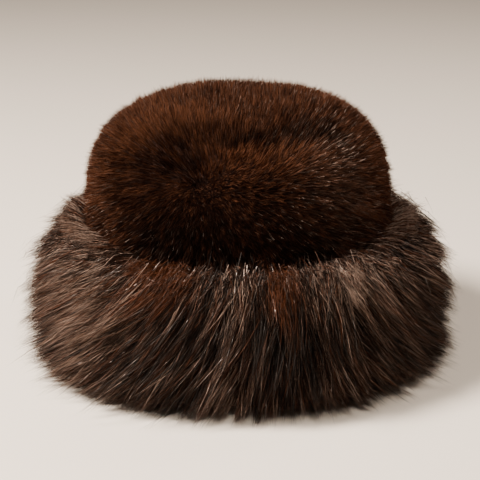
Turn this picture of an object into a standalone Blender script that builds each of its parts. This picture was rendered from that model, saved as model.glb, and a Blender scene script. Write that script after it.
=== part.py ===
"""Fur hat: a short-haired crown seated in a long-haired, downward brim.

Metres, +Z up. The hat stands on its hem as it would on a table: the origin is the
centre of the head opening at the hem, and the front of the hat faces -Y.
"""

import math
import random

import bmesh
import bpy
from mathutils import Vector

# Head opening, an oval measured where the crown meets the brim
HEAD_HALF_WIDTH = 0.088
HEAD_HALF_DEPTH = 0.098

# Crown
SEAM_HEIGHT = 0.080  # from the hem up to the seat that the crown stands on
CROWN_HEIGHT = 0.098  # from the seat to the top
CROWN_WALL = 0.014  # skin with its pile, at the foot
CROWN_TOP_WALL = 0.015  # skin with its pile, at the top
CROWN_BELLY = 0.002  # how far the flank swells beyond the foot
SHOULDER_HEIGHT = 0.082  # the rounded part, below the top
SHOULDER_POWER = 2.85  # 2 is a half ellipse, more is squarer
SEAT_GAP = 0.0003  # between crown and brim at the seat
LIP_CLEARANCE = 0.0012  # between the crown's flank and the brim's lip

# Brim
BRIM_FLARE = 0.020  # how far the hem stands out from the head opening
BRIM_WAIST = 0.4  # share of that flare which the skin has half-way down
BRIM_SKIN = 0.0035
FUR_GAP = 0.0003  # between the skin and the fur body round it
LIP_HEIGHT = 0.014  # fur that stands round the crown's foot, above the seat
FUR_DEPTH = 0.0440  # from the head opening's line to the belly of the fur body
FLOOR_CLEARANCE = 0.0008  # lowest fur above the plane of the hem

# Locks of the brim
LOCKS_ROUND = 44
LOCK_WIDTH = 0.022
LOCK_RIDGE = 0.0060  # how far a lock's ridge stands out from the fur body
LOCK_SINK = 0.003  # how deep its edges lie in the fur body
LOCK_SWAY = 0.011  # largest sideways shift of a tip
LOCK_UNEVENNESS = 0.18  # largest change of a lock's length, as a share of it

# Mesh density
COLUMNS = 40
SHOULDER_RINGS = 13
FLANK_RINGS = 3
LINER_RINGS = 9

# Outer face of the fur body, from the lip down to the foot.
# out is a share of FUR_DEPTH, up a share of the brim's whole height.
BODY_SECTION = (
    # name, out, up
    ("lip", 0.44, 1.000),
    ("upper", 0.64, 0.970),
    ("shoulder", 0.84, 0.875),
    ("high", 0.95, 0.700),
    ("belly", 1.00, 0.470),
    ("low", 0.99, 0.250),
    ("skirt", 0.91, 0.100),
    ("foot", 0.76, 0.025),
)

# One row for each ring of locks. root and tip are shares of the section's length, from the
# lip to the foot; lift is how far the tip stands off the body, as a share of FUR_DEPTH,
# and ridge how far the ridge does, as a share of LOCK_RIDGE.
LOCK_RINGS = (
    # root, tip, lift, ridge
    (0.02, 0.42, 0.13, 0.60),
    (0.22, 0.62, 0.24, 0.90),
    (0.43, 0.82, 0.31, 1.00),
    (0.64, 0.96, 0.31, 1.00),
)
LOCK_STATIONS = (
    # along, width, height: shares of the lock's length, of LOCK_WIDTH and of its ridge
    (0.00, 0.70, 0.00),
    (0.35, 1.00, 1.00),
    (0.75, 0.65, 0.75),
)

# Dents and swells of the crown. bearing is in degrees round from the front towards +X;
# up is a share of SHOULDER_HEIGHT above its start, 1 at the top; reach_round is in degrees;
# reach_up and depth are shares of SHOULDER_HEIGHT, and a negative depth is a swell.
CROWN_DENTS = (
    # name, bearing, up, reach_round, reach_up, depth
    ("front crease", 14.0, 0.93, 30.0, 0.10, 0.075),
    ("front roll", 16.0, 0.72, 30.0, 0.17, -0.045),
    ("whorl", -22.0, 0.76, 10.0, 0.14, 0.060),
    ("left roll", -52.0, 0.62, 20.0, 0.26, -0.020),
    ("left shoulder", -100.0, 0.90, 40.0, 0.20, 0.022),
    ("back sag", 158.0, 0.95, 18.0, 0.14, 0.030),
)
TOP_HOLLOW_DEPTH = 0.005
TOP_HOLLOW_SHARE = 0.62  # its radius, as a share of the crown's

# Colours: dark brown fur and the suede inside
FUR_COLOR = (0.045, 0.018, 0.009, 1.0)
BRIM_COLOR = (0.055, 0.026, 0.016, 1.0)
SKIN_COLOR = (0.16, 0.10, 0.06, 1.0)
FUR_ROUGHNESS = 0.6
SKIN_ROUGHNESS = 0.9

BRIM_TOP = SEAM_HEIGHT + LIP_HEIGHT
CROWN_TOP = SEAM_HEIGHT + CROWN_HEIGHT


def clear_scene():
    for obj in list(bpy.data.objects):
        bpy.data.objects.remove(obj)


def material(name, color, roughness):
    made = bpy.data.materials.new(name)
    made.use_nodes = True
    shader = made.node_tree.nodes["Principled BSDF"]
    shader.inputs["Base Color"].default_value = color
    shader.inputs["Roughness"].default_value = roughness
    shader.inputs["Metallic"].default_value = 0.0
    return made


def oval_point(standoff, height, angle, share=1.0):
    """A point that stands off the head opening, at share of the way out from the axis."""
    across = (HEAD_HALF_WIDTH + standoff) * share
    along = (HEAD_HALF_DEPTH + standoff) * share
    return Vector((across * math.cos(angle), along * math.sin(angle), height))


def oval(standoff, height, share=1.0):
    steps = range(COLUMNS)
    return [
        oval_point(standoff, height, 2 * math.pi * i / COLUMNS, share) for i in steps
    ]


def between(a, b, share):
    return a + (b - a) * share


def bell(distance):
    return math.exp(-distance * distance)


def flank_standoff(height):
    """The crown's outer face above its foot, as a distance off the head opening."""
    rise = min(1.0, height / (CROWN_HEIGHT - SHOULDER_HEIGHT + SHOULDER_HEIGHT / 3))
    return CROWN_WALL + CROWN_BELLY * math.sin(rise * math.pi / 2)


def shoulder(turn):
    """The superellipse of the shoulder: shares of radius and height at a turn of 0 to 1."""
    c = math.cos(turn * math.pi / 2)
    s = math.sin(turn * math.pi / 2)
    size = (c**SHOULDER_POWER + s**SHOULDER_POWER) ** (1 / SHOULDER_POWER)
    return c / size, s / size


def dent_depth(angle, up):
    """How far the dents push the crown's face in, at a bearing and a height share."""
    total = 0.0
    for _, bearing, dent_up, reach_round, reach_up, depth in CROWN_DENTS:
        turn = math.degrees(angle) + 90.0 - bearing
        turn = (turn + 180.0) % 360.0 - 180.0
        total += depth * bell(turn / reach_round) * bell((up - dent_up) / reach_up)
    return total * SHOULDER_HEIGHT


def crown_outer_ring(turn):
    radius, height = shoulder(turn)
    start = CROWN_TOP - SHOULDER_HEIGHT
    ring = []
    for i in range(COLUMNS):
        angle = 2 * math.pi * i / COLUMNS
        z = start + SHOULDER_HEIGHT * height
        point = oval_point(flank_standoff(z - SEAM_HEIGHT), z, angle, radius)
        out_weight = radius ** (SHOULDER_POWER - 1)
        up_weight = height ** (SHOULDER_POWER - 1)
        out = Vector((math.cos(angle), math.sin(angle), 0.0)) * out_weight
        normal = (out + Vector((0.0, 0.0, up_weight))).normalized()
        hollow = TOP_HOLLOW_DEPTH * bell(radius / TOP_HOLLOW_SHARE) * up_weight
        ring.append(point - normal * (dent_depth(angle, height) * radius + hollow))
    return ring


def loft(mesh, rings, tip=None):
    """Joins rings of points with quads and closes the last one on a tip, if it has one."""
    rows = [[mesh.verts.new(point) for point in ring] for ring in rings]
    for low, high in zip(rows, rows[1:]):
        for i in range(len(low)):
            j = (i + 1) % len(low)
            mesh.faces.new((low[i], low[j], high[j], high[i]))
    if tip is not None:
        peak = mesh.verts.new(tip)
        last = rows[-1]
        for i in range(len(last)):
            mesh.faces.new((last[i], last[(i + 1) % len(last)], peak))
    return rows


def bridge(mesh, low, high):
    for i in range(len(low)):
        j = (i + 1) % len(low)
        mesh.faces.new((low[i], low[j], high[j], high[i]))


def finished_object(name, mesh, look=None):
    """Makes the object of a closed bmesh, in triangles that face out."""
    bmesh.ops.triangulate(mesh, faces=mesh.faces)
    bmesh.ops.recalc_face_normals(mesh, faces=mesh.faces)
    data = bpy.data.meshes.new(name)
    mesh.to_mesh(data)
    mesh.free()
    data.shade_smooth()
    obj = bpy.data.objects.new(name, data)
    if look is not None:
        data.materials.append(look)
    bpy.context.scene.collection.objects.link(obj)
    return obj


def crown_rings():
    """The crown's outer face, from its foot over the shoulder to just short of the top."""
    foot = SEAM_HEIGHT + SEAT_GAP
    start = CROWN_TOP - SHOULDER_HEIGHT
    rings = []
    for k in range(FLANK_RINGS):
        z = between(foot, start, k / FLANK_RINGS)
        rings.append(oval(flank_standoff(z - SEAM_HEIGHT), z))
    for k in range(SHOULDER_RINGS):
        rings.append(crown_outer_ring(k / SHOULDER_RINGS))
    return rings


def liner_rings():
    """The crown's inner face, from the foot up."""
    foot = SEAM_HEIGHT + SEAT_GAP
    ceiling = CROWN_TOP - CROWN_TOP_WALL - TOP_HOLLOW_DEPTH
    start = CROWN_TOP - SHOULDER_HEIGHT
    rings = [oval(0.0, foot), oval(0.0, start)]
    for k in range(1, LINER_RINGS):
        radius, height = shoulder(k / LINER_RINGS)
        rings.append(oval(0.0, between(start, ceiling, height), radius))
    return rings, Vector((0.0, 0.0, ceiling))


def build_crown(look):
    mesh = bmesh.new()
    outer = loft(mesh, crown_rings(), Vector((0.0, 0.0, CROWN_TOP - TOP_HOLLOW_DEPTH)))
    inner_rings, ceiling = liner_rings()
    inner = loft(mesh, inner_rings, ceiling)
    bridge(mesh, outer[0], inner[0])
    return finished_object("crown", mesh, look)


def body_corners():
    return [Vector((FUR_DEPTH * out, BRIM_TOP * up)) for _, out, up in BODY_SECTION]


def body_point(share):
    """The point of the fur body's section at a share of its length, as standoff and height."""
    corners = body_corners()
    lengths = [(b - a).length for a, b in zip(corners, corners[1:])]
    left = share * sum(lengths)
    for start, end, length in zip(corners, corners[1:], lengths):
        if left <= length:
            break
        left -= length
    return between(start, end, min(1.0, left / length))


def body_normal(share):
    reach = 0.06
    run = body_point(min(1.0, share + reach)) - body_point(max(0.0, share - reach))
    return Vector((-run.y, run.x)).normalized()


def skin_line():
    """Standoff and height of the skin's inner face at the seat, half-way down and at the hem."""
    return (0.0, SEAM_HEIGHT), (BRIM_WAIST * BRIM_FLARE, SEAM_HEIGHT / 2), (BRIM_FLARE, 0.0)


def build_brim_skin(look):
    """The brim's skin, a sloping band that carries the crown and stands on its hem."""
    mesh = bmesh.new()
    inside = skin_line()
    outside = [(standoff + BRIM_SKIN, z) for standoff, z in inside]
    section = [*outside, *reversed(inside)]
    rows = loft(mesh, [oval(standoff, z) for standoff, z in section])
    bridge(mesh, rows[-1], rows[0])
    return finished_object("brim_skin", mesh, look)


def build_fur_body(look):
    """The dense underfur round the brim's skin, which all the locks grow from."""
    mesh = bmesh.new()
    inner = BRIM_SKIN + FUR_GAP
    _, (waist, half_way), (hem, _) = skin_line()
    foot_up = BODY_SECTION[-1][2] * BRIM_TOP
    section = [
        (inner + between(hem, waist, foot_up / half_way), foot_up),
        (inner + waist, half_way),
        (inner, SEAM_HEIGHT),
        (flank_standoff(0.0) + LIP_CLEARANCE, SEAM_HEIGHT),
        (flank_standoff(LIP_HEIGHT) + LIP_CLEARANCE, between(SEAM_HEIGHT, BRIM_TOP, 0.8)),
    ]
    section += body_corners()
    rows = loft(mesh, [oval(standoff, z) for standoff, z in section])
    bridge(mesh, rows[-1], rows[0])
    return finished_object("brim_fur", mesh, look)


def add_lock(mesh, ring, angle, sway, stretch):
    """One pointed lock: its edges lie in the body, its ridge rises and its tip lifts off."""
    root, tip, lift, ridge = ring
    tip = min(1.0, between(root, tip, stretch))

    def place(along, rise, side):
        share = between(root, tip, along)
        at = body_point(share) + body_normal(share) * rise
        turn = angle + sway * along * along
        across = Vector((-math.sin(turn), math.cos(turn), 0.0)) * side
        return oval_point(at.x, max(at.y, FLOOR_CLEARANCE), turn) + across

    sections = []
    for along, width, height in LOCK_STATIONS:
        half = LOCK_WIDTH * width / 2
        rise = FUR_DEPTH * lift * along * along + LOCK_RIDGE * ridge * height
        edges = [place(along, -LOCK_SINK, side) for side in (-half, half)]
        sections.append([*edges, place(along, rise, 0.0)])
    rows = loft(mesh, sections, place(1.0, FUR_DEPTH * lift, 0.0))
    mesh.faces.new(rows[0])


def build_lock_set(number, parity):
    """Every second lock of one ring, which don't touch each other."""
    mesh = bmesh.new()
    dice = random.Random(number)
    for i in range(LOCKS_ROUND):
        sway = dice.uniform(-1, 1) * LOCK_SWAY / (HEAD_HALF_DEPTH + FUR_DEPTH)
        stretch = 1 + dice.uniform(-1, 1) * LOCK_UNEVENNESS
        if i % 2 == parity:
            angle = 2 * math.pi * (i + (number % 2) / 2) / LOCKS_ROUND
            add_lock(mesh, LOCK_RINGS[number], angle, sway, stretch)
    return finished_object(f"locks_{number}_{parity}", mesh)


def outer_shell(mesh):
    """Keeps the shell with the most faces, so that no pocket stays sealed inside it."""
    left = set(mesh.faces)
    shells = []
    while left:
        shell = [left.pop()]
        for face in shell:
            for edge in face.edges:
                if len(edge.link_faces) > 2:
                    continue
                for neighbour in edge.link_faces:
                    if neighbour in left:
                        left.remove(neighbour)
                        shell.append(neighbour)
        shells.append(shell)
    shells.sort(key=len)
    inner = [face for shell in shells[:-1] for face in shell]
    bmesh.ops.delete(mesh, geom=inner, context="FACES")


def fuse(obj, others):
    """Unites the object with the others, which are then removed."""
    for other in others:
        joint = obj.modifiers.new("fuse", "BOOLEAN")
        joint.operation = "UNION"
        joint.solver = "MANIFOLD"
        joint.object = other
    fused = bmesh.new()
    fused.from_object(obj, bpy.context.evaluated_depsgraph_get())
    bmesh.ops.triangulate(fused, faces=fused.faces)
    outer_shell(fused)
    obj.modifiers.clear()
    fused.to_mesh(obj.data)
    fused.free()
    for other in others:
        bpy.data.objects.remove(other)


def build_brim_fur(look):
    body = build_fur_body(look)
    numbers = range(len(LOCK_RINGS))
    fuse(body, [build_lock_set(number, parity) for number in numbers for parity in (0, 1)])


def main():
    clear_scene()
    build_crown(material("crown_fur", FUR_COLOR, FUR_ROUGHNESS))
    build_brim_skin(material("suede", SKIN_COLOR, SKIN_ROUGHNESS))
    build_brim_fur(material("brim_fur", BRIM_COLOR, FUR_ROUGHNESS))


main()
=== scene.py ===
"""Fur hat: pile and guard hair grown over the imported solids, on a pale floor.

Metres, +Z up, the front of the hat towards -Y. Hair is made as thin tapering ribbons that
are joined into a few meshes; each ribbon's shade comes from its place in the "OFBake" map,
with the hair's tint across and its length, root to tip, up.
"""

import math
import random

import bpy
import numpy as np
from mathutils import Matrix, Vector
from mathutils.kdtree import KDTree


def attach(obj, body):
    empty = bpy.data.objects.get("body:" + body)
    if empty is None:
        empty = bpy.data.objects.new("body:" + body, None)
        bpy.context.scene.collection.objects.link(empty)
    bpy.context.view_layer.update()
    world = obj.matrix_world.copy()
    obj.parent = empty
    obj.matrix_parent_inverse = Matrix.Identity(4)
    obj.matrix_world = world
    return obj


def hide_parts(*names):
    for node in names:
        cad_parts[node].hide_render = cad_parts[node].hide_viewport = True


# Camera: it looks at a point above the middle of the hem
CAMERA_ELEVATION = 18.0
CAMERA_DISTANCE = 1.0
CAMERA_LENS = 107.7
LOOK_AT = Vector((0.0, 0.0, 0.07))
SHIFT_RIGHT = 0.0035
SHIFT_UP = 0.0044

# Lights, the light from all round, and the floor
LIGHTS = (
    # name, place, what it shines on, size, watts
    ("key", (-0.95, -0.30, 1.30), (0.0, 0.0, 0.06), 0.5, 88.0),
    ("rim", (1.00, 0.55, 0.90), (0.0, 0.0, 0.10), 0.4, 5.0),
    ("top", (0.15, -0.90, 1.25), (0.0, 0.0, 0.05), 0.5, 16.5),
)
LIGHT_COLOR = (1.0, 0.96, 0.91)
WORLD_COLOR = (1.0, 0.95, 0.90, 1.0)
WORLD_STRENGTH = 0.078
FLOOR_SIZE = 12.0

# Section of the brim, the same sizes as the solids'
HEAD_HALF_WIDTH = 0.088
HEAD_HALF_DEPTH = 0.098
FUR_DEPTH = 0.0440
BRIM_TOP = 0.094
BODY_SECTION = (
    # out, up: shares of FUR_DEPTH and BRIM_TOP
    (0.44, 1.000),
    (0.64, 0.970),
    (0.84, 0.875),
    (0.95, 0.700),
    (1.00, 0.470),
    (0.99, 0.250),
    (0.91, 0.100),
    (0.76, 0.025),
)
SLOPE_REACH = 0.08  # how far either way along the section its slope is taken

# Outer face of the brim's skin, with a little to spare: standoffs at heights
SKIN_HEIGHTS = (0.0, 0.040, 0.080)
SKIN_STANDOFFS = (0.0245, 0.0130, 0.0048)
CROWN_STANDOFF = 0.0172  # the same of the foot of the crown

# Rings of locks, the same as the solids'
LOCKS_ROUND = 44
LOCK_WIDTH = 0.022
LOCK_RIDGE = 0.0060
LOCK_SWAY = 0.011
LOCK_UNEVENNESS = 0.18
LOCK_RINGS = (
    # root, tip, lift, ridge
    (0.02, 0.42, 0.13, 0.60),
    (0.22, 0.62, 0.24, 0.90),
    (0.43, 0.82, 0.31, 1.00),
    (0.64, 0.96, 0.31, 1.00),
)
LOCK_ALONG = (0.00, 0.35, 0.75, 1.00)  # places from root to tip, for these two:
LOCK_WIDTHS = (0.70, 1.00, 0.65, 0.30)
LOCK_HEIGHTS = (0.00, 1.00, 0.75, 0.00)

# Tufts of hair, which grow along those locks and below the lowest ring
TUFTS_IN_LOCK = 46
HAIRS_IN_TUFT = 11
WISPS_IN_TUFT = 4
WISP_LENGTH = 1.2  # how long a wisp is against the other hair
WISP_REACH = 0.022  # wisps end a fifth of this further out, on average
TUFT_ALONG = (0.12, 1.00)  # shares of a lock's length
TUFT_ASIDE = 1.15  # how far a lock's tufts go to its sides, against the lock's own half width
TUFT_RISE = (0.60, 1.05)  # shares of the lock's rise off the body at which tufts end
TUFT_STRAY = 0.0012  # how much further off they end, on average
TUFT_LIFT = (0.0010, 0.0120)  # heights to which tufts that come near the floor are moved up
FOOT_TUFTS = 4000
FOOT_SHARES = (0.80, 1.00)
FOOT_STANDOFF = 0.032
FOOT_SPREAD = 0.024
FOOT_HEIGHTS = (-0.002, 0.014)
FOOT_SPLAY = 0.7  # how far a tuft moves out for what the floor lifts it

# Lie of the brim's hair, in degrees, by the bearing round from the front towards +X.
# A hair's stand is how far its tip rises off the fur's face; its comb how far it turns
# aside from straight down that face, towards +X where positive.
STAND = 22.0
STAND_AT_FOOT = 12.0  # how much more it stands off at the foot than at the belly
STAND_CHANGES = (
    # bearing, reach, change
    (-92.0, 34.0, 30.0),
    (92.0, 36.0, 22.0),
    (180.0, 60.0, 8.0),
)
LIP_CHANGES = (
    # the same, at the brim's upper edge only
    (0.0, 50.0, -18.0),
    (-88.0, 36.0, 14.0),
    (88.0, 36.0, 14.0),
    (180.0, 50.0, -8.0),
)
COMB_CHANGES = (
    # bearing, reach, change
    (-45.0, 45.0, -46.0),
    (60.0, 35.0, 36.0),
)
COMB_WANDER = 8.0  # slow change of the comb from place to place
TUFT_TURN = 5.0  # spread of stand and comb from tuft to tuft
HAIR_STAND_TURN = 4.0  # the same from hair to hair in a tuft
HAIR_COMB_TURN = 5.5
HAIR_CURL = 22.0  # how much more a hair stands up at its root than at its tip
HAIR_LENGTH = 0.052
HAIR_LENGTHS = (0.80, 1.10)  # shares of it that tufts have
SHORTEST_HAIR = 0.006
HAIR_START = 0.20  # share of a hair that is left out, in the underfur
HAIR_AHEAD = 0.12  # how far the longest hair reaches past its tuft, as a share of its length
HAIR_BACK = 0.5  # most that another falls back from there, as a share of its length
TIP_SCATTER = 0.0012
BEND_SCATTER = 0.0009
ROOT_SCATTER = 0.07  # as a share of the hair's length
ROOT_SCATTER_MOST = 0.0032
ROOT_LIMITS = ((0.35, 0.0180), (0.60, 0.0085))  # share, least standoff of a root
ROOT_HEIGHT = 0.089  # greatest height of a root
BELLY_SHARE = 0.55  # hair below it hangs as it does there
GUARD_HAIR_WIDTH = 0.00037
FLOOR_CLEARANCE = 0.0006  # least height of a hair above the floor
FLOOR_SCATTER = 0.002  # most that this varies from hair to hair
FULLNESS = (
    # bearing, reach, how much further out the hair's tips lie
    (-90.0, 50.0, 0.0045),
    (85.0, 50.0, 0.0078),
    (0.0, 60.0, 0.0012),
)
FOOT_FULLNESS = (
    # the same, growing from the belly down to the foot
    (-44.0, 26.0, 0.0090),
    (46.0, 26.0, 0.0080),
    (-90.0, 24.0, 0.0030),
)

# Tufts draw together into pointed locks, finer than those of the solids
FINE_LOCKS = 1500
DRAW_TOGETHER = 0.60  # share of the way that a tuft moves to the middle of its lock
DRAW_POINT = 0.90  # how far it falls back, as a share of its distance from there
DRAW_BEND = 0.4  # share of these moves at the bend of a hair
LOCK_LEAD = 0.0038  # spread of how far locks reach before one another
LOCK_EDGE = 0.0035  # distance from a lock's middle where its painted light turns to the painted shade of the gaps between locks
# painted shade in the gaps between locks, and painted light at their middles, as a change of tint
LOCK_GAP_SHADE = 0.22
BEND_BACK = ((0, 0.1475), (1, 0.1570))  # axis, and from where hair bends back along it
BEND_REACH = 0.0060  # furthest that hair gets beyond there

# Underfur, a ring just inside the guard hair
UNDERFUR_INSET = 0.010
UNDERFUR_COLUMNS = 96
UNDERFUR_ROWS = 20
UNDERFUR_HEIGHTS = (0.003, 0.090)
UNDERFUR_INNER = (
    # standoff and height of its face towards the skin
    (0.0239, 0.0012),
    (0.0123, 0.0400),
    (0.0041, 0.0800),
    (0.0165, 0.0800),
)
STREAKS = (900.0, 900.0, 160.0)  # of underfur and pelt, per metre

# Short fur round the foot of the crown
COLLAR_HAIRS = 20000
COLLAR_TUFTS = 2000
COLLAR_HEIGHT = 0.0865
COLLAR_STANDOFFS = (0.0175, 0.0235)
COLLAR_LENGTHS = (0.010, 0.020)
COLLAR_STAND = 16.0
COLLAR_ROOT_STAND = 26.0  # how much more a hair stands up at its root
COLLAR_TIP_STAND = -12.0
COLLAR_RAISE = (
    # bearing, reach, how much higher it grows up the foot of the crown
    (-62.0, 36.0, 0.0090),
    (62.0, 34.0, 0.0090),
)

# Pile of the crown
PILE_STRANDS = 122000
PILE_TUFTS = 8000
PILE_DEPTH = 0.0070
PILE_START = 0.85  # share of that depth at which a hair starts
PELT_DEPTH = 0.75  # share of it at which the matted roots lie
PILE_LEAN = 0.0038
PILE_WIDTH = 0.00028
PILE_PROUD = 0.0026
PILE_TOP = 0.18  # by what share the pile is longer on top
PILE_FALL = 0.6  # by what share it is longer at the foot
PILE_DROP = 0.35  # how much it lies downwards
PILE_WANDER = 0.30  # how much its lie changes from place to place
PILE_WANDER_SIZE = 0.045
PILE_GATHER = 0.16  # how far the tips of a tuft draw together
PILE_FOOT = 0.0815
PILE_FRINGE = 0.100  # from here down the pile grows longer and hangs over the brim
WHORL = np.array((-0.030, -0.101, 0.142))
SWIRL = 0.55
SWIRL_REACH = 0.06
CROWN_MIDDLE = np.array((0.0, 0.0, 0.11))  # outer faces look away from here
FACES_DOWN = -0.9  # height of a normal below which a face belongs to the crown's foot

# Ribbons
TWIST = math.radians(110.0)  # most that one turns along its length
BAND_SLIDE = 0.35  # most that a hair's bands are moved up it
CROWN_GLOSSY_SHARE = 0.10
BRIM_GLOSSY_SHARE = 0.36
WISP_GLOSSY_SHARE = 0.25
COLLAR_GLOSSY_SHARE = 0.04

# Tint of a hair: how much its tuft, chance and its place add, and what is taken off
PILE_TUFT_TINT = 0.36
PILE_HAIR_TINT = 0.60
PILE_PLACE_TINT = 0.35
PILE_DARKER = 0.15
BRIM_TUFT_TINT = 0.56
BRIM_HAIR_TINT = 0.70
BRIM_PLACE_TINT = 0.07
BRIM_DARKER = 0.14

# Painted light and shade on the crown's pile: painted shade along the parting at the whorl, in
# the hollow behind the front ridge and low on the front and left; painted highlights on the
# ridge, beside the whorl, at the top left and where the right side glints
CROWN_PAINTED_LIGHT_AND_SHADE = (
    # place, reach, change of tint
    ((0.000, -0.084, 0.164), 0.010, -0.30),
    ((0.016, -0.080, 0.167), 0.012, -0.52),
    ((0.038, -0.070, 0.168), 0.012, -0.46),
    ((0.060, -0.058, 0.164), 0.014, -0.34),
    ((0.006, -0.094, 0.155), 0.013, 0.40),
    ((0.030, -0.089, 0.154), 0.015, 0.36),
    ((-0.014, -0.112, 0.118), 0.007, -0.26),
    ((-0.019, -0.107, 0.130), 0.006, -0.16),
    ((-0.024, -0.101, 0.142), 0.006, -0.28),
    ((-0.008, -0.106, 0.140), 0.018, 0.24),
    ((-0.028, -0.091, 0.153), 0.006, -0.46),
    ((-0.035, -0.080, 0.160), 0.006, -0.36),
    ((-0.046, -0.070, 0.163), 0.007, -0.26),
    ((-0.049, -0.084, 0.151), 0.012, -0.18),
    ((-0.066, -0.080, 0.125), 0.022, -0.14),
    ((-0.055, -0.052, 0.167), 0.022, 0.18),
    ((0.058, -0.088, 0.136), 0.022, 0.18),
    ((-0.050, -0.100, 0.106), 0.030, -0.28),
    ((0.000, -0.112, 0.102), 0.036, -0.36),
    ((0.052, -0.098, 0.102), 0.030, -0.28),
)
CROWN_SHINE = ((0.062, -0.084, 0.134), 0.034, 0.75)  # where more of its hair is glossy

# Painted sheen and painted shade round the brim, as changes of tint: lighter at the left front,
# the middle and the right front and at the sides of the crown's foot, darker low down, in the
# middle of the front and on the right side; then its reddish places, the matt ones
BRIM_PAINTED_SHEEN_AND_SHADE = (
    # bearing, reach, share, share's reach, change of tint
    (-60.0, 30.0, 0.35, 0.45, 0.08),
    (-62.0, 25.0, 0.02, 0.08, 0.20),
    (-60.0, 25.0, 0.20, 0.12, -0.06),
    (-50.0, 18.0, 0.42, 0.26, 0.34),
    (-40.0, 25.0, 0.96, 0.24, -0.10),
    (5.0, 60.0, 0.00, 0.12, -0.12),
    (-3.0, 4.5, 0.35, 0.50, 0.16),
    (30.0, 17.0, 0.30, 0.22, 0.50),
    (-19.0, 8.0, 0.50, 0.22, -0.18),
    (11.0, 7.0, 0.52, 0.30, -0.20),
    (75.0, 40.0, 0.65, 0.50, -0.07),
    (85.0, 40.0, 0.00, 0.22, 0.34),
    (-85.0, 24.0, 0.00, 0.16, 0.08),
    (0.0, 75.0, 1.00, 0.35, -0.06),
    (3.0, 35.0, 0.64, 0.32, -0.14),
)
BRIM_REDDISH = (
    # bearing, reach, share, share's reach, weight
    (-25.0, 12.0, 0.22, 0.26, 1.60),
    (12.0, 5.5, 0.24, 0.24, 1.50),
    (-88.0, 12.0, 0.55, 0.30, 0.60),
)
RED_TINT = 0.65  # how far along the brim hair's tints the reddish places are

# Colours, linear
CROWN_DARK = (0.0035, 0.0012, 0.0006)
CROWN_BROWN = (0.031, 0.0102, 0.0048)
CROWN_WARM = (0.095, 0.0335, 0.0155)
BRIM_BLACK = (0.0022, 0.0013, 0.0010)
BRIM_BROWN = (0.016, 0.0068, 0.0040)
BRIM_RED = (0.072, 0.0200, 0.0066)
# the lightest, grey hair; the painted sheen round the brim pushes hair towards it too
BRIM_GREY_AND_SHEEN = (0.215, 0.1400, 0.1030)
CROWN_GLEAM = (1.0, 0.72, 0.55)
BRIM_GLEAM = (1.0, 0.80, 0.68)
SUEDE = (0.16, 0.10, 0.06)
FLOOR_COLOR = (0.80, 0.665, 0.54)

# Colour of hair by its tint
PILE_TINTS = ((0.15, CROWN_DARK), (0.50, CROWN_BROWN), (0.85, CROWN_WARM))
BRIM_TINTS = ((0.34, BRIM_BLACK), (0.52, BRIM_BROWN), (0.68, BRIM_RED), (0.86, BRIM_GREY_AND_SHEEN))

# From root to tip: painted shade at the root, deep in the fur, lighter towards the tip; along the
# brim's hair, lighter and darker bands
PILE_SHADES = ((0.00, 0.15), (0.60, 0.90), (1.00, 1.25))
BRIM_SHADES = (
    (0.00, 0.25),
    (0.26, 1.00),
    (0.38, 0.40),
    (0.50, 1.30),
    (0.62, 0.40),
    (0.76, 1.20),
    (0.88, 0.45),
    (1.00, 1.00),
)

# Roughness from root to tip: even, glossy towards the tip, or glossy in short dashes
MATT = ((0.00, 0.60), (1.00, 0.60))
GLOSSY_TIP = ((0.00, 0.70), (0.45, 0.60), (0.70, 0.40), (1.00, 0.46))
GLOSSY_DASHES = (
    (0.00, 0.75),
    (0.26, 0.28),
    (0.34, 0.75),
    (0.42, 0.75),
    (0.50, 0.28),
    (0.58, 0.75),
    (0.69, 0.75),
    (0.76, 0.28),
    (0.83, 0.75),
    (1.00, 0.50),
)


def unit(vectors):
    return vectors / np.maximum(np.linalg.norm(vectors, axis=-1, keepdims=True), 1e-9)


def add_object(name, data):
    obj = bpy.data.objects.new(name, data)
    bpy.context.scene.collection.objects.link(obj)
    return obj


def waves(points, size, seed, count=7):
    """Smooth noise of about -1 to 1 with features of about the size given."""
    dice = np.random.default_rng(seed)
    total = np.zeros(len(points))
    for _ in range(count):
        direction = unit(dice.normal(size=3)) * (2 * math.pi / size) * dice.uniform(0.6, 1.4)
        total += np.sin(points @ direction + dice.uniform(0, 2 * math.pi))
    return total / math.sqrt(count)


# Brim section


def section_corners():
    return np.array([(FUR_DEPTH * out, BRIM_TOP * up) for out, up in BODY_SECTION])


def body_point(share):
    """Standoff and height on the fur body at shares of its section's length."""
    corners = section_corners()
    steps = np.linalg.norm(np.diff(corners, axis=0), axis=1)
    along = np.concatenate([[0.0], np.cumsum(steps)]) / steps.sum()
    share = np.clip(share, 0.0, 1.0)
    out = np.interp(share, along, corners[:, 0])
    return np.stack([out, np.interp(share, along, corners[:, 1])], axis=-1)


def body_normal(share):
    run = body_point(share + SLOPE_REACH) - body_point(share - SLOPE_REACH)
    return unit(np.stack([-run[..., 1], run[..., 0]], axis=-1))


def oval_point(standoff, height, angle):
    x = (HEAD_HALF_WIDTH + standoff) * np.cos(angle)
    y = (HEAD_HALF_DEPTH + standoff) * np.sin(angle)
    return np.stack([x, y, height], axis=-1)


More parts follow.
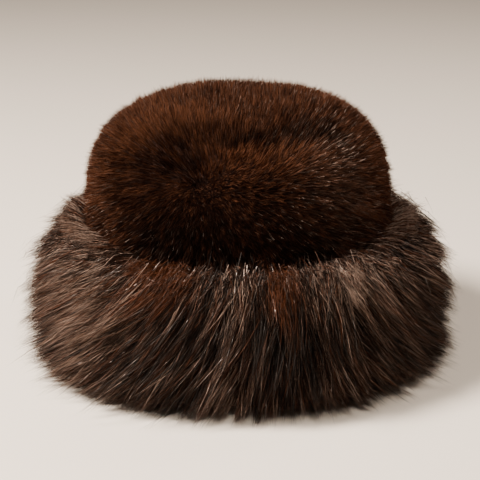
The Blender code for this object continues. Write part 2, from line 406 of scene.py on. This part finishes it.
def keep_off_skin(points):
    """Moves points that are inside the brim's skin level outwards, to just outside it."""
    middle = sum(SKIN_STANDOFFS) / len(SKIN_STANDOFFS)
    across = points[..., 0] / (HEAD_HALF_WIDTH + middle)
    angle = np.arctan2(points[..., 1] / (HEAD_HALF_DEPTH + middle), across)
    out = np.stack([np.cos(angle), np.sin(angle)], axis=-1)
    hollow = (out**2 * np.array((HEAD_HALF_WIDTH, HEAD_HALF_DEPTH))).sum(axis=-1)
    standoff = (points[..., :2] * out).sum(axis=-1) - hollow
    inside = np.interp(points[..., 2], SKIN_HEIGHTS, SKIN_STANDOFFS) - standoff
    points[..., :2] += out * np.maximum(inside, 0.0)[..., None]


def turn_from(bearing, centre):
    """How far a bearing is from another, from -180 to 180 degrees."""
    return (bearing - centre + 180.0) % 360.0 - 180.0


def change_at(bearing, changes):
    """The sum of soft changes, each round its own bearing, in degrees."""
    total = np.zeros_like(bearing)
    for centre, reach, change in changes:
        total += change * np.exp(-((turn_from(bearing, centre) / reach) ** 2))
    return total


def heading(share, angle, stand, comb):
    """Unit vectors that stand off the fur's face and are combed aside, both in degrees."""
    rise = body_normal(np.minimum(share, BELLY_SHARE))
    out = np.stack([np.cos(angle), np.sin(angle), np.zeros_like(angle)], axis=-1)
    aside = np.stack([-np.sin(angle), np.cos(angle), np.zeros_like(angle)], axis=-1)
    up = np.array((0.0, 0.0, 1.0))
    normal = out * rise[:, :1] + up * rise[:, 1:]
    down = out * rise[:, 1:] - up * rise[:, :1]
    stand = np.radians(stand)[:, None]
    comb = np.radians(comb)[:, None]
    lie = np.cos(comb) * down + np.sin(comb) * aside
    return np.cos(stand) * lie + np.sin(stand) * normal


# Ribbons


def ribbon_mesh(name, paths, widths, tints, slides, dice):
    """Joins tapering ribbons into one mesh. paths is strands x stations x 3.

    slides move each hair's bands up it, by shares of its length.
    """
    strands, stations = paths.shape[:2]
    run = unit(paths[:, -1] - paths[:, 0])
    side = unit(np.cross(run, dice.normal(size=(strands, 3))))
    face = np.cross(run, side)
    twist = dice.uniform(-TWIST, TWIST, size=strands)
    last = stations - 1
    per = 2 * last + 1
    verts = np.empty((strands, per, 3), np.float32)
    for k in range(last):
        turn = (twist * k / last)[:, None]
        offset = (np.cos(turn) * side + np.sin(turn) * face) * (widths[:, k] / 2)[:, None]
        verts[:, 2 * k] = paths[:, k] - offset
        verts[:, 2 * k + 1] = paths[:, k] + offset
    verts[:, -1] = paths[:, -1]

    faces = []
    for k in range(last - 1):
        faces.append([2 * k, 2 * k + 1, 2 * k + 3, 2 * k + 2])
    faces.append([2 * last - 2, 2 * last - 1, 2 * last])
    pattern = np.concatenate([np.array(face) for face in faces])
    sizes = np.array([len(face) for face in faces])
    loops = (np.arange(strands)[:, None] * per + pattern).ravel()
    starts = np.concatenate([[0], np.cumsum(np.tile(sizes, strands))[:-1]])

    mesh = bpy.data.meshes.new(name)
    mesh.vertices.add(strands * per)
    mesh.vertices.foreach_set("co", verts.ravel())
    mesh.loops.add(len(loops))
    mesh.loops.foreach_set("vertex_index", loops.astype(np.int32))
    mesh.polygons.add(len(starts))
    mesh.polygons.foreach_set("loop_start", starts.astype(np.int32))
    mesh.update(calc_edges=True)
    mesh.shade_smooth()

    up = np.empty(per)
    up[:-1] = np.repeat(np.arange(last) / last, 2)
    up[-1] = 1.0
    uv = np.empty((strands, len(pattern), 2), np.float32)
    uv[..., 0] = np.clip(tints, 0.01, 0.99)[:, None]
    slides = slides[:, None]
    uv[..., 1] = 0.01 + 0.98 * (slides + (1 - slides) * up[pattern])
    mesh.uv_layers.new(name="OFBake").data.foreach_set("uv", uv.ravel())
    return add_object(name, mesh)


def ribbon_pieces(name, pieces, paths, widths, tints, slides, looks, gloss, dice):
    """Makes the ribbons as a number of pieces, each a sector round the hat.

    looks are the matt and the glossy material, and gloss is the share of glossy hair.
    """
    bearing = np.arctan2(paths[:, 0, 1], paths[:, 0, 0])
    sector = ((bearing + math.pi) / (2 * math.pi) * pieces).astype(int).clip(0, pieces - 1)
    glossy = dice.uniform(size=len(paths)) < gloss
    for k in range(pieces):
        mine = sector == k
        piece = f"{name}_{k + 1}"
        obj = ribbon_mesh(piece, paths[mine], widths[mine], tints[mine], slides[mine], dice)
        faces = len(obj.data.polygons) // max(1, mine.sum())
        for look in looks:
            obj.data.materials.append(look)
        index = np.repeat(glossy[mine].astype(np.int32), faces)
        obj.data.polygons.foreach_set("material_index", index)
        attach(obj, "root")


def curve(root, control, tip, start):
    """Three points of each quadratic curve, from a share of its length on."""
    t = np.linspace(start, 1.0, 3)[None, :, None]
    return (1 - t) ** 2 * root[:, None] + 2 * t * (1 - t) * control[:, None] + t**2 * tip[:, None]


# Materials


def new_material(name):
    made = bpy.data.materials.new(name)
    made.use_nodes = True
    return made, made.node_tree.nodes, made.node_tree.links


def ramp(nodes, stops):
    node = nodes.new("ShaderNodeValToRGB")
    elements = node.color_ramp.elements
    while len(elements) < len(stops):
        elements.new(0.5)
    for element, (position, color) in zip(elements, stops):
        element.position = position
        element.color = (*color, 1.0)
    return node


def grey_ramp(nodes, stops):
    return ramp(nodes, [(at, (value, value, value)) for at, value in stops])


def add_bump(nodes, links, height, shader, strength, distance):
    bump = nodes.new("ShaderNodeBump")
    bump.inputs["Strength"].default_value = strength
    bump.inputs["Distance"].default_value = distance
    links.new(height.outputs["Fac"], bump.inputs["Height"])
    links.new(bump.outputs["Normal"], shader.inputs["Normal"])


def hair_material(name, tints, shades, polish, specular, gleam):
    """Hair whose colour follows its tint, and darkens or lightens from root to tip, with painted
    shade at the root.

    polish is its roughness from root to tip.
    """
    made, nodes, links = new_material(name)
    shader = nodes["Principled BSDF"]
    place = nodes.new("ShaderNodeUVMap")
    place.uv_map = "OFBake"
    split = nodes.new("ShaderNodeSeparateXYZ")
    links.new(place.outputs["UV"], split.inputs["Vector"])
    tint = ramp(nodes, tints)
    links.new(split.outputs["X"], tint.inputs["Fac"])
    shade = grey_ramp(nodes, shades)
    links.new(split.outputs["Y"], shade.inputs["Fac"])
    mix = nodes.new("ShaderNodeMix")
    mix.data_type = "RGBA"
    mix.blend_type = "MULTIPLY"
    mix.inputs["Factor"].default_value = 1.0
    links.new(tint.outputs["Color"], mix.inputs["A"])
    links.new(shade.outputs["Color"], mix.inputs["B"])
    links.new(mix.outputs["Result"], shader.inputs["Base Color"])
    rough = grey_ramp(nodes, polish)
    links.new(split.outputs["Y"], rough.inputs["Fac"])
    links.new(rough.outputs["Color"], shader.inputs["Roughness"])
    shader.inputs["Specular IOR Level"].default_value = specular
    shader.inputs["Specular Tint"].default_value = (*gleam, 1.0)
    return made


def underfur_material(name, dark, light):
    """Matted dark fur with fine streaks that run down it."""
    made, nodes, links = new_material(name)
    shader = nodes["Principled BSDF"]
    place = nodes.new("ShaderNodeTexCoord")
    stretch = nodes.new("ShaderNodeMapping")
    stretch.inputs["Scale"].default_value = STREAKS
    links.new(place.outputs["Object"], stretch.inputs["Vector"])
    noise = nodes.new("ShaderNodeTexNoise")
    noise.inputs["Scale"].default_value = 1.0
    noise.inputs["Detail"].default_value = 4.0
    links.new(stretch.outputs["Vector"], noise.inputs["Vector"])
    shades = ramp(nodes, [(0.3, dark), (0.75, light)])
    links.new(noise.outputs["Fac"], shades.inputs["Fac"])
    links.new(shades.outputs["Color"], shader.inputs["Base Color"])
    add_bump(nodes, links, noise, shader, strength=0.6, distance=0.001)
    shader.inputs["Roughness"].default_value = 0.8
    shader.inputs["Specular IOR Level"].default_value = 0.1
    return made


def suede_material():
    """The napped inside of the skin, mottled, with a fine grain."""
    made, nodes, links = new_material("suede")
    shader = nodes["Principled BSDF"]
    place = nodes.new("ShaderNodeTexCoord")
    blotch = nodes.new("ShaderNodeTexNoise")
    blotch.inputs["Scale"].default_value = 38.0
    blotch.inputs["Detail"].default_value = 5.0
    links.new(place.outputs["Object"], blotch.inputs["Vector"])
    light = tuple(1.5 * value for value in SUEDE)
    dark = tuple(0.6 * value for value in SUEDE)
    shades = ramp(nodes, [(0.3, dark), (0.7, light)])
    links.new(blotch.outputs["Fac"], shades.inputs["Fac"])
    links.new(shades.outputs["Color"], shader.inputs["Base Color"])
    grain = nodes.new("ShaderNodeTexNoise")
    grain.inputs["Scale"].default_value = 1400.0
    links.new(place.outputs["Object"], grain.inputs["Vector"])
    add_bump(nodes, links, grain, shader, strength=0.5, distance=0.0006)
    shader.inputs["Roughness"].default_value = 0.92
    shader.inputs["Sheen Weight"].default_value = 0.3
    return made


def floor_material():
    made, nodes, _ = new_material("floor")
    shader = nodes["Principled BSDF"]
    shader.inputs["Base Color"].default_value = (*FLOOR_COLOR, 1.0)
    shader.inputs["Roughness"].default_value = 0.9
    return made


# Crown


def crown_surface():
    """The crown's points, its triangles, the outer face's normals and which are outer."""
    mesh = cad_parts["crown"].data
    mesh.calc_loop_triangles()
    points = np.empty(len(mesh.vertices) * 3)
    mesh.vertices.foreach_get("co", points)
    points, merged = np.unique(
        np.round(points.reshape(-1, 3), 6), axis=0, return_inverse=True
    )
    corners = np.empty(len(mesh.loop_triangles) * 3, np.int32)
    mesh.loop_triangles.foreach_get("vertices", corners)
    corners = merged.reshape(-1)[corners].reshape(-1, 3)
    a, b, c = (points[corners[:, k]] for k in range(3))
    cross = np.cross(b - a, c - a)
    away = (a + b + c) / 3 - CROWN_MIDDLE
    outer = ((cross * away).sum(axis=1) > 0) & (unit(cross)[:, 2] > FACES_DOWN)
    normals = np.zeros_like(points)
    for k in range(3):
        np.add.at(normals, corners[outer, k], cross[outer])
    return points, corners, unit(normals), outer


def crown_samples(count, dice):
    """Points spread evenly over the crown's outer face, with its normals there."""
    points, corners, normals, outer = crown_surface()
    chosen = corners[outer]
    a, b, c = (points[chosen[:, k]] for k in range(3))
    area = np.linalg.norm(np.cross(b - a, c - a), axis=1)
    picked = dice.choice(len(chosen), size=count, p=area / area.sum())
    u, v = dice.uniform(size=(2, count))
    over = u + v > 1
    u[over], v[over] = 1 - u[over], 1 - v[over]
    weights = np.stack([1 - u - v, u, v], axis=-1)[..., None]
    at = (points[chosen[picked]] * weights).sum(axis=1)
    normal = unit((normals[chosen[picked]] * weights).sum(axis=1))
    keep = at[:, 2] > PILE_FOOT
    return at[keep], normal[keep]


def crown_flow(at, normal):
    """The way the pile lies: away from the whorl, with a swirl near it."""
    away = at - WHORL
    distance = np.linalg.norm(away, axis=1, keepdims=True)
    flow = unit(away - normal * (away * normal).sum(axis=1, keepdims=True))
    swirl = np.cross(normal, flow) * SWIRL * np.exp(-distance / SWIRL_REACH)
    drop = np.array((0.0, 0.0, -PILE_DROP))
    wander = np.stack([waves(at, PILE_WANDER_SIZE, seed) for seed in (11, 12, 13)], axis=-1)
    flow = flow + swirl + drop + wander * PILE_WANDER
    return unit(flow - normal * (flow * normal).sum(axis=1, keepdims=True))


def nearest(points, centres):
    tree = KDTree(len(centres))
    for i, centre in enumerate(centres):
        tree.insert(centre, i)
    tree.balance()
    return np.array([tree.find(point)[1] for point in points])


def near(points, place, reach):
    """1 at a place, falling softly to 0 beyond its reach."""
    distance = np.linalg.norm(points - np.array(place), axis=1)
    return np.exp(-((distance / reach) ** 2))


def build_crown_pelt(pelt, suede):
    """The crown's skin and the matted roots of its pile, set in from the tips."""
    points, corners, normals, outer = crown_surface()
    touched = np.zeros(len(points), bool)
    touched[corners[outer].ravel()] = True
    inset = points.copy()
    inset[touched] -= normals[touched] * PILE_DEPTH * PELT_DEPTH
    mesh = bpy.data.meshes.new("crown_pelt")
    mesh.from_pydata(inset.tolist(), [], corners.tolist())
    mesh.materials.append(pelt)
    mesh.materials.append(suede)
    mesh.polygons.foreach_set("material_index", np.where(outer, 0, 1).astype(np.int32))
    mesh.shade_smooth()
    obj = add_object("crown_pelt", mesh)
    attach(obj, "root")
    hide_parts("crown")


def build_crown_pile(looks):
    dice = np.random.default_rng(5)
    at, normal = crown_samples(PILE_STRANDS, dice)
    centres, centre_normals = crown_samples(PILE_TUFTS, dice)
    tuft = nearest(at, centres)
    flow = crown_flow(at, normal)
    centre_flow = crown_flow(centres, centre_normals)
    turn = dice.normal(scale=0.25, size=len(centres))
    centre_flow = unit(centre_flow + np.cross(centre_normals, centre_flow) * turn[:, None])
    tuft_length = dice.uniform(0.85, 1.12, size=len(centres))
    count = len(at)
    lie = unit(0.5 * flow + 0.5 * centre_flow[tuft] + dice.normal(scale=0.28, size=at.shape))
    foot = np.clip((PILE_FRINGE - at[:, 2]) / (PILE_FRINGE - PILE_FOOT), 0.0, 1.0)
    length = tuft_length[tuft] * dice.uniform(0.8, 1.1, size=count) * (1 + PILE_FALL * foot)
    length = length[:, None]
    gather = centres[tuft] - at
    gather -= normal * (gather * normal).sum(axis=1, keepdims=True)
    root = at - normal * PILE_DEPTH * PILE_START - lie * PILE_LEAN * 0.6
    rise = (PILE_DEPTH * PILE_START + PILE_PROUD) * dice.uniform(0.8, 1.12, size=count)
    rise = (rise * (1 + PILE_TOP * np.clip(normal[:, 2], 0.0, 1.0)))[:, None]
    middle = root + (normal * rise * 0.62 + lie * PILE_LEAN * 0.42) * length
    tip = root + (normal * rise + lie * PILE_LEAN) * length + gather * PILE_GATHER
    paths = np.stack([root, middle + gather * 0.05, tip], axis=1)
    base = PILE_WIDTH * dice.uniform(0.7, 1.3, size=count)
    widths = np.stack([base, base * 0.85], axis=1)
    tuft_tint = dice.uniform(size=len(centres))
    patch = 0.5 + 0.22 * waves(at, 0.05, 21)
    tints = PILE_TUFT_TINT * tuft_tint[tuft] + PILE_HAIR_TINT * dice.uniform(size=count)
    tints += PILE_PLACE_TINT * patch
    tints -= PILE_DARKER
    # painted light and shade on the crown's pile
    for place, reach, change in CROWN_PAINTED_LIGHT_AND_SHADE:
        tints += change * near(at, place, reach)
    gloss = CROWN_GLOSSY_SHARE + CROWN_SHINE[2] * near(at, *CROWN_SHINE[:2])
    still = np.zeros(count)
    ribbon_pieces("crown_pile", 3, paths, widths, tints, still, looks, gloss, dice)


# Brim


def build_brim_underfur(look):
    """The matted underfur of the brim, a ring that lies just inside the guard hair."""
    columns = UNDERFUR_COLUMNS
    shares = np.linspace(0, 1, UNDERFUR_ROWS)
    skin = body_point(shares) - body_normal(shares) * UNDERFUR_INSET
    skin[:, 0] = np.maximum(skin[:, 0], CROWN_STANDOFF)
    skin[:, 1] = np.clip(skin[:, 1], *UNDERFUR_HEIGHTS)
    section = np.concatenate([np.array(UNDERFUR_INNER), skin])
    angle = np.arange(columns) * 2 * math.pi / columns
    rings = [oval_point(np.full(columns, s), np.full(columns, z), angle) for s, z in section]
    verts = np.concatenate(rings)
    faces = []
    for r in range(len(section)):
        low, high = r * columns, (r + 1) % len(section) * columns
        for i in range(columns):
            j = (i + 1) % columns
            faces.append((low + i, low + j, high + j, high + i))
    mesh = bpy.data.meshes.new("brim_underfur")
    mesh.from_pydata(verts.tolist(), [], faces)
    mesh.materials.append(look)
    mesh.shade_smooth()
    obj = add_object("brim_underfur", mesh)
    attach(obj, "root")
    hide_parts("brim_fur")


def lock_table():
    """Every lock of the solids as root, tip, lift, ridge, angle, sway and stretch."""
    rows = []
    for number, ring in enumerate(LOCK_RINGS):
        dice = random.Random(number)
        for i in range(LOCKS_ROUND):
            sway = dice.uniform(-1, 1) * LOCK_SWAY / (HEAD_HALF_DEPTH + FUR_DEPTH)
            stretch = 1 + dice.uniform(-1, 1) * LOCK_UNEVENNESS
            angle = 2 * math.pi * (i + (number % 2) / 2) / LOCKS_ROUND
            rows.append((*ring, angle, sway, stretch))
    return np.array(rows)


def brim_tufts(dice):
    """Tufts of all locks and of the foot: share along the section, tip's place and angle."""
    table = np.repeat(lock_table(), TUFTS_IN_LOCK, axis=0)
    root, tip, lift, ridge, angle, sway, stretch = table.T
    count = len(table)
    along = dice.uniform(*TUFT_ALONG, size=count) ** 0.75
    aside = dice.uniform(-1, 1, size=count)
    share = np.minimum(root + (tip - root) * stretch * along, 1.0)
    height = np.interp(along, LOCK_ALONG, LOCK_HEIGHTS) * (1 - aside**2)
    rise = FUR_DEPTH * lift * along**2 + LOCK_RIDGE * ridge * height
    rise = rise * dice.uniform(*TUFT_RISE, size=count)
    rise += dice.exponential(TUFT_STRAY, size=count)
    half = np.interp(along, LOCK_ALONG, LOCK_WIDTHS) * LOCK_WIDTH / 2
    radius = HEAD_HALF_DEPTH + FUR_DEPTH
    angle = angle + sway * along**2 + TUFT_ASIDE * aside * half / radius
    at = body_point(share) + body_normal(np.minimum(share, BELLY_SHARE)) * rise[:, None]
    sunk = np.maximum(dice.uniform(*TUFT_LIFT, size=count) - at[:, 1], 0.0)
    at += sunk[:, None] * np.array((FOOT_SPLAY, 1.0))

    foot_share = dice.uniform(*FOOT_SHARES, size=FOOT_TUFTS)
    foot_out = FOOT_STANDOFF + FOOT_SPREAD * dice.beta(1.6, 1.8, size=FOOT_TUFTS)
    foot_up = dice.uniform(*FOOT_HEIGHTS, size=FOOT_TUFTS)
    foot_angle = dice.uniform(0.0, 2 * math.pi, size=FOOT_TUFTS)
    return (
        np.concatenate([share, foot_share]),
        np.concatenate([at, np.stack([foot_out, foot_up], axis=-1)]),
        np.concatenate([angle, foot_angle]),
    )


def brim_paths(share, at, angle, each, reach, dice):
    """Hairs of the tufts. The tips of a tuft draw together and its roots spread."""
    tufts = len(share)
    bearing = np.degrees(angle) + 90.0
    low = np.clip((share - BELLY_SHARE) / (1 - BELLY_SHARE), 0.0, 1.0)
    fuller = change_at(bearing, FULLNESS) + low * change_at(bearing, FOOT_FULLNESS)
    place = oval_point(at[:, 0] + fuller, at[:, 1], angle)
    stand = STAND + change_at(bearing, STAND_CHANGES)
    stand += dice.normal(scale=TUFT_TURN, size=tufts)
    stand += STAND_AT_FOOT * low
    stand += change_at(bearing, LIP_CHANGES) * np.clip(1 - share / 0.3, 0.0, 1.0)
    comb = change_at(bearing, COMB_CHANGES) + COMB_WANDER * waves(place, 0.12, 41)
    comb += dice.normal(scale=TUFT_TURN, size=tufts)
    length = HAIR_LENGTH * dice.uniform(*HAIR_LENGTHS, size=tufts) * reach
    run = heading(share, angle, stand + HAIR_CURL / 2, comb * 0.8)
    outwards = run[:, 0] * np.cos(angle) + run[:, 1] * np.sin(angle)
    limit = np.interp(share, *zip(*ROOT_LIMITS))
    length = np.minimum(length, (at[:, 0] - limit) / np.maximum(outwards, 0.3))
    length = np.minimum(length, (ROOT_HEIGHT - at[:, 1]) / np.maximum(-run[:, 2], 0.1))
    length = np.maximum(length, SHORTEST_HAIR)
    leaders = place[dice.choice(tufts, size=FINE_LOCKS, replace=False)]
    lead = dice.normal(scale=LOCK_LEAD, size=(FINE_LOCKS, 1))
    mine = nearest(place, leaders)
    apart = leaders[mine] - place
    distance = np.linalg.norm(apart, axis=1, keepdims=True)
    draw = apart * DRAW_TOGETHER + run * (lead[mine] - distance * DRAW_POINT)
    # painted shade towards the gaps between locks, painted light at their middles
    gap_shade = LOCK_GAP_SHADE * (distance[:, 0] / LOCK_EDGE - 1)

    tuft = np.repeat(np.arange(tufts), each)
    count = len(tuft)
    own_stand = stand[tuft] + dice.normal(scale=HAIR_STAND_TURN, size=count)
    own_comb = comb[tuft] + dice.normal(scale=HAIR_COMB_TURN, size=count)
    own_length = length[tuft][:, None]
    end = heading(share[tuft], angle[tuft], own_stand, own_comb)
    start = heading(share[tuft], angle[tuft], own_stand + HAIR_CURL, own_comb * 0.6)
    back = np.minimum(dice.gamma(1.6, 0.08, size=count), HAIR_BACK)[:, None]
    tip = place[tuft] - end * own_length * (back - HAIR_AHEAD * reach)
    tip += dice.normal(scale=TIP_SCATTER, size=(count, 3))
    control = tip - end * own_length * 0.5 + dice.normal(scale=BEND_SCATTER, size=(count, 3))
    root = control - start * own_length * 0.5
    spread = np.minimum(own_length * ROOT_SCATTER, ROOT_SCATTER_MOST)
    root += dice.normal(scale=1.0, size=(count, 3)) * spread
    paths = curve(root, control + draw[tuft] * DRAW_BEND, tip + draw[tuft], HAIR_START)
    for axis, edge in BEND_BACK:
        beyond = np.maximum(np.abs(paths[..., axis]) - edge, 0.0)
        kept = BEND_REACH * (1 - np.exp(-beyond / BEND_REACH))
        paths[..., axis] -= np.sign(paths[..., axis]) * (beyond - kept)
    floor = FLOOR_CLEARANCE + FLOOR_SCATTER * dice.uniform(size=count)[:, None]
    paths[..., 2] = np.maximum(paths[..., 2], floor)
    keep_off_skin(paths)
    return paths, tuft, gap_shade[tuft]


def patch_weight(share, bearing, patch):
    """1 at the middle of a patch of the brim, falling softly to 0 beyond its reach."""
    centre, reach, middle, share_reach = patch
    turn = turn_from(bearing, centre)
    return np.exp(-((turn / reach) ** 2) - ((share - middle) / share_reach) ** 2)


def brim_tints(share, angle, tuft, paths, gap_shade, dice):
    """Grey-brown, black or reddish hair, by tuft and by reddish patches, with painted sheen and
    painted shade round the brim and between its locks.
    """
    bearing = np.degrees(angle[tuft]) + 90.0
    tuft_tint = dice.uniform(size=len(angle))
    tints = BRIM_TUFT_TINT * tuft_tint[tuft] + BRIM_HAIR_TINT * dice.uniform(size=len(tuft))
    tints -= BRIM_DARKER
    tints += BRIM_PLACE_TINT * waves(paths[:, 1], 0.07, 31) - gap_shade
    # painted sheen and painted shade round the brim
    for *patch, change in BRIM_PAINTED_SHEEN_AND_SHADE:
        tints += change * patch_weight(share[tuft], bearing, patch)
    for *patch, weight in BRIM_REDDISH:
        weight = np.minimum(weight * patch_weight(share[tuft], bearing, patch), 0.95)
        tints += (RED_TINT - tints) * weight
    return tints


def build_brim_hair(looks):
    dice = np.random.default_rng(17)
    share, at, angle = brim_tufts(dice)
    kinds = (
        # name, pieces, hairs in a tuft, reach, share of glossy hair
        ("brim_hair", 3, HAIRS_IN_TUFT, 1.0, BRIM_GLOSSY_SHARE),
        ("brim_wisps", 1, WISPS_IN_TUFT, WISP_LENGTH, WISP_GLOSSY_SHARE),
    )
    for name, pieces, each, reach, glossy in kinds:
        out = at.copy()
        beyond = np.clip(share / 0.3, 0.0, 1.0) * dice.exponential(WISP_REACH, size=len(at))
        out[:, 0] += (reach - 1) * beyond
        paths, tuft, gap_shade = brim_paths(share, out, angle, each, reach, dice)
        tints = brim_tints(share, angle, tuft, paths, gap_shade, dice)
        base = GUARD_HAIR_WIDTH * dice.uniform(0.55, 1.25, size=len(paths))
        base *= 0.7 + 0.3 * np.clip(share[tuft] / 0.4, 0.0, 1.0)
        widths = base[:, None] * np.array((1.0, 0.7))
        gloss = glossy * np.clip(share[tuft] / 0.25, 0.1, 1.0)
        # near the crown the bands stay where they are, so the painted shade at the root stays at
        # the join
        slides = BAND_SLIDE * np.clip((share[tuft] - 0.1) / 0.3, 0.0, 1.0)
        slides *= dice.uniform(size=len(paths))
        ribbon_pieces(name, pieces, paths, widths, tints, slides, looks, gloss, dice)


def build_collar(looks):
    """Short hair that fills the join between the brim and the foot of the crown."""
    dice = np.random.default_rng(23)
    tuft_angle = dice.uniform(0, 2 * math.pi, size=COLLAR_TUFTS)
    tuft_out = dice.uniform(*COLLAR_STANDOFFS, size=COLLAR_TUFTS)
    tuft_stand = dice.normal(COLLAR_STAND, 7.0, size=COLLAR_TUFTS)
    tuft_stand += change_at(np.degrees(tuft_angle) + 90.0, STAND_CHANGES)
    tuft_length = dice.uniform(*COLLAR_LENGTHS, size=COLLAR_TUFTS)
    tuft = dice.integers(0, COLLAR_TUFTS, size=COLLAR_HAIRS)
    count = COLLAR_HAIRS
    angle = tuft_angle[tuft] + dice.normal(scale=0.012, size=count)
    out = tuft_out[tuft] + dice.normal(scale=0.0006, size=count)
    bearing = np.degrees(angle) + 90.0
    up = COLLAR_HEIGHT + change_at(bearing, COLLAR_RAISE) * dice.uniform(size=count)
    root = oval_point(np.maximum(out, CROWN_STANDOFF), up, angle)
    comb = change_at(bearing, COMB_CHANGES) * 0.7
    comb = comb + dice.normal(scale=6.0, size=count)
    stand = tuft_stand[tuft] + dice.normal(scale=4.0, size=count)
    length = (tuft_length[tuft] * dice.uniform(0.75, 1.1, size=count))[:, None]
    lip = np.full(count, 0.08)
    first = heading(lip, angle, stand + COLLAR_ROOT_STAND, comb * 0.5)
    second = heading(lip, angle, stand + COLLAR_TIP_STAND, comb)
    control = root + first * length * 0.5
    tip = control + second * length * 0.5
    paths = curve(root, control, tip, 0.0)
    still = np.zeros(count)
    tints = brim_tints(np.full(COLLAR_TUFTS, 0.05), tuft_angle, tuft, paths, still, dice)
    base = GUARD_HAIR_WIDTH * dice.uniform(0.55, 1.1, size=count)
    widths = base[:, None] * np.array((1.0, 0.75))
    gloss = COLLAR_GLOSSY_SHARE
    ribbon_pieces("brim_collar", 1, paths, widths, tints, still, looks, gloss, dice)


# Stage


def build_floor():
    bpy.ops.mesh.primitive_plane_add(size=FLOOR_SIZE, location=(0.0, 0.0, 0.0))
    floor = bpy.context.object
    floor.name = "floor"
    floor.data.materials.append(floor_material())


def add_light(name, location, target, size, energy):
    light = bpy.data.lights.new(name, "AREA")
    light.shape = "DISK"
    light.size = size
    light.energy = energy
    light.color = LIGHT_COLOR
    obj = add_object(name, light)
    obj.location = location
    aim = Vector(target) - Vector(location)
    obj.rotation_euler = aim.to_track_quat("-Z", "Y").to_euler()


def build_lights():
    for light in LIGHTS:
        add_light(*light)
    world = bpy.data.worlds.new("studio")
    world.use_nodes = True
    background = world.node_tree.nodes["Background"]
    background.inputs["Color"].default_value = WORLD_COLOR
    background.inputs["Strength"].default_value = WORLD_STRENGTH
    bpy.context.scene.world = world


def build_camera():
    data = bpy.data.cameras.new("camera")
    data.lens = CAMERA_LENS
    data.sensor_width = 36.0
    data.shift_x = SHIFT_RIGHT
    data.shift_y = SHIFT_UP
    camera = add_object("camera", data)
    lift = math.radians(CAMERA_ELEVATION)
    away = Vector((0.0, -math.cos(lift), math.sin(lift))) * CAMERA_DISTANCE
    camera.location = LOOK_AT + away
    camera.rotation_euler = (-away).to_track_quat("-Z", "Y").to_euler()
    bpy.context.scene.camera = camera


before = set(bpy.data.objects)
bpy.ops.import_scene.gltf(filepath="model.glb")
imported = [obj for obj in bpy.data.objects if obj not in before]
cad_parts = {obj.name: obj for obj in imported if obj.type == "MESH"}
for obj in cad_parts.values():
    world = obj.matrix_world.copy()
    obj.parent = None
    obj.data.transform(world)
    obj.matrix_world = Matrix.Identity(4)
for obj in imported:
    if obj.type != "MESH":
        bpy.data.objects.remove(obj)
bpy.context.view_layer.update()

suede = suede_material()
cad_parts["brim_skin"].data.materials.clear()
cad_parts["brim_skin"].data.materials.append(suede)
build_crown_pelt(underfur_material("crown_pelt", CROWN_DARK, CROWN_BROWN), suede)
pile_looks = [
    hair_material("crown_pile", PILE_TINTS, PILE_SHADES, MATT, 0.03, CROWN_GLEAM),
    hair_material("crown_guard_hair", PILE_TINTS, PILE_SHADES, GLOSSY_TIP, 0.60, CROWN_GLEAM),
]
build_crown_pile(pile_looks)
build_brim_underfur(underfur_material("underfur", BRIM_BLACK, BRIM_BROWN))
brim_looks = [
    hair_material("brim_hair", BRIM_TINTS, BRIM_SHADES, MATT, 0.06, BRIM_GLEAM),
    hair_material("brim_guard_hair", BRIM_TINTS, BRIM_SHADES, GLOSSY_DASHES, 0.55, BRIM_GLEAM),
]
build_brim_hair(brim_looks)
build_collar(brim_looks)
build_floor()
build_lights()
build_camera()
